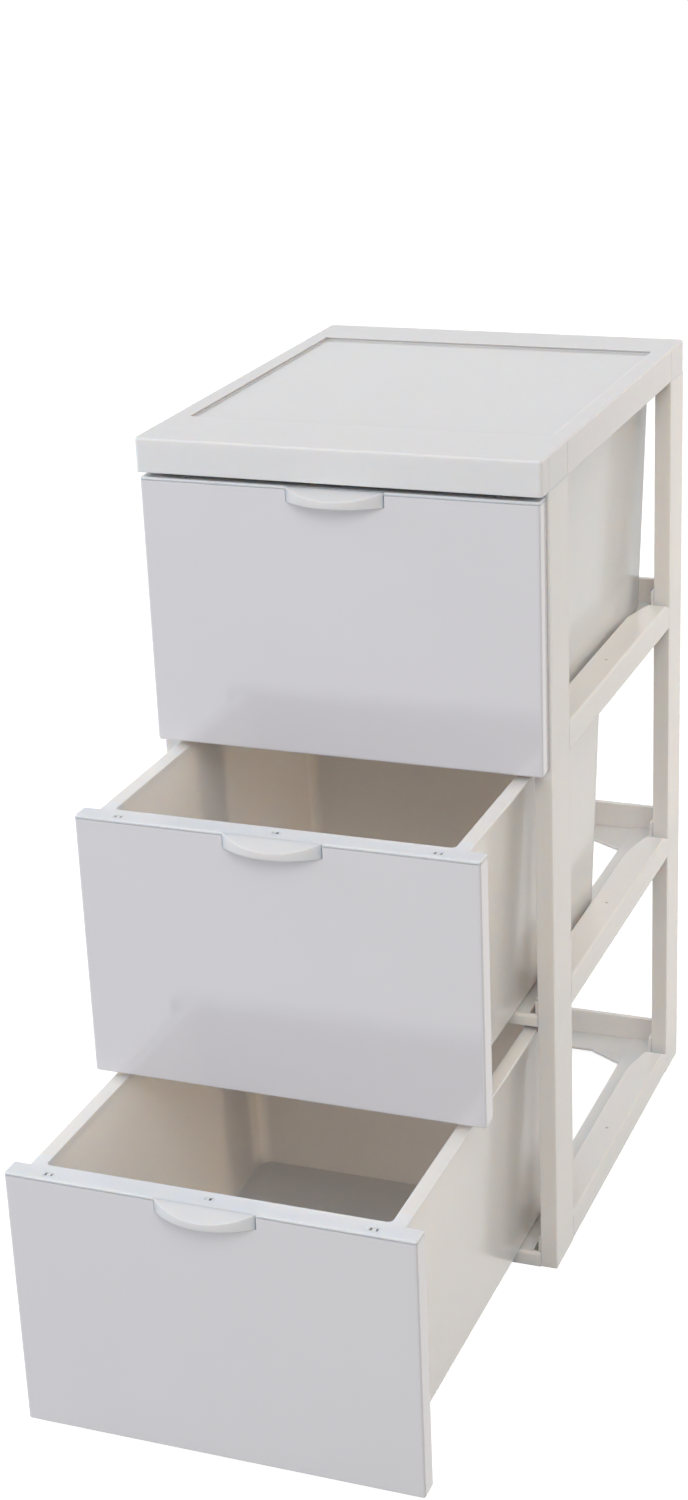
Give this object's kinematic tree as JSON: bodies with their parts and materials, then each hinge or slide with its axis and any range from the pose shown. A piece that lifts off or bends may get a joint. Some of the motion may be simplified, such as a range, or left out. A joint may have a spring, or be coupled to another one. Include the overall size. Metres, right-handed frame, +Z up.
{
  "type": "drawer tower",
  "caption": "Tall narrow plastic drawer tower with a flat tray-topped cover, an open post frame and deep pull-out drawers with crescent pulls.",
  "frame": {"origin": "on the floor under the middle of the front wall of the lowest frame's front bar", "axes": "+X across the tower to its right as seen from the front, +Y from front to back so that the drawers pull out along -Y, +Z up"},
  "size_m": [0.3, 0.6755, 0.638],
  "materials": {
    "white_cover": "satin",
    "white_frame": "satin",
    "drawer_shell": "satin",
    "gloss_front": "high gloss"
  },
  "bodies": {
    "tower": {"top_cover": "white_cover", "front_right_post": "white_frame", "front_left_post": "white_frame", "rear_right_post": "white_frame", "rear_left_post": "white_frame", "base_frame": "white_frame", "lower_shelf_frame": "white_frame", "upper_shelf_frame": "white_frame"},
    "lower_drawer": {"lower_drawer_box": "drawer_shell", "lower_front_panel": "gloss_front"},
    "middle_drawer": {"middle_drawer_box": "drawer_shell", "middle_front_panel": "gloss_front"},
    "upper_drawer": {"upper_drawer_box": "drawer_shell", "upper_front_panel": "gloss_front"}
  },
  "joints": [
    {"name": "lower_drawer_slide", "type": "slide", "parent": "tower", "child": "lower_drawer", "axis": [0, -1, 0], "range_m": [-0.281, 0.019]},
    {"name": "middle_drawer_slide", "type": "slide", "parent": "tower", "child": "middle_drawer", "axis": [0, -1, 0], "range_m": [-0.1394, 0.1606]},
    {"name": "upper_drawer_slide", "type": "slide", "parent": "tower", "child": "upper_drawer", "axis": [0, -1, 0], "range_m": [0, 0.3]}
  ]
}
